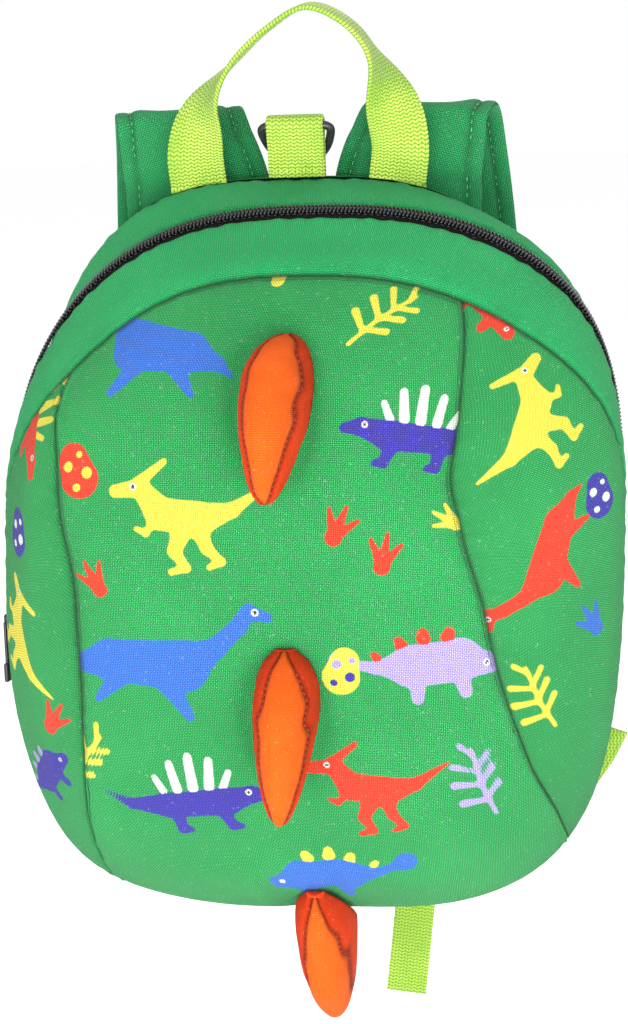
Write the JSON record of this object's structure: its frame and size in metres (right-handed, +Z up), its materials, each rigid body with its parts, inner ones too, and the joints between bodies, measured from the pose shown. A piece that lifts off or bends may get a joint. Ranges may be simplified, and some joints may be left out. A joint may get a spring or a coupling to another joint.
{
  "type": "kids animal backpack",
  "caption": "Toddler backpack with a domed printed front, three stuffed spikes, a zip over the arch, a grab handle, a leash ring and padded shoulder straps.",
  "frame": {"origin": "middle of the back panel's flat rear face, where the bag sits on the wearer's back", "axes": "+Z up, +X to the right of someone who faces the printed front, +Y from the print towards the wearer"},
  "size_m": [0.2245, 0.1755, 0.375],
  "materials": {
    "printed_cloth": "woven polyester, printed",
    "green_cloth": "woven polyester",
    "strap_cloth": "woven polyester, padded",
    "orange_cloth": "smooth woven polyester, stuffed",
    "lime_webbing": "herringbone webbing",
    "zip": "coil zip",
    "black_plastic": "satin"
  },
  "bodies": {
    "bag": {"front_panel": "printed_cloth", "side_panel_right": "printed_cloth", "side_panel_left": "printed_cloth", "rear_gusset": "green_cloth", "rim_band": "green_cloth", "lower_gusset": "green_cloth", "back_panel": "green_cloth", "shoulder_strap_right": "strap_cloth", "shoulder_strap_left": "strap_cloth", "spike_top": "orange_cloth", "spike_middle": "orange_cloth", "spike_bottom": "orange_cloth", "handle": "lime_webbing", "leash_tab": "lime_webbing", "buckle_keeper_right": "lime_webbing", "buckle_keeper_left": "lime_webbing", "adjuster_right": "lime_webbing", "adjuster_left": "lime_webbing", "anchor_right": "lime_webbing", "anchor_left": "lime_webbing", "zip_tape": "zip", "zip_coil": "zip", "zip_slider": "black_plastic", "buckle_right": "black_plastic", "buckle_left": "black_plastic"},
    "ring": {"leash_ring": "black_plastic"}
  },
  "joints": [
    {"name": "ring_swing", "type": "hinge", "parent": "bag", "child": "ring", "pos_m": [0, -0.0071, 0.1422], "axis": [1, 0, 0], "range_deg": [0, 235]}
  ]
}
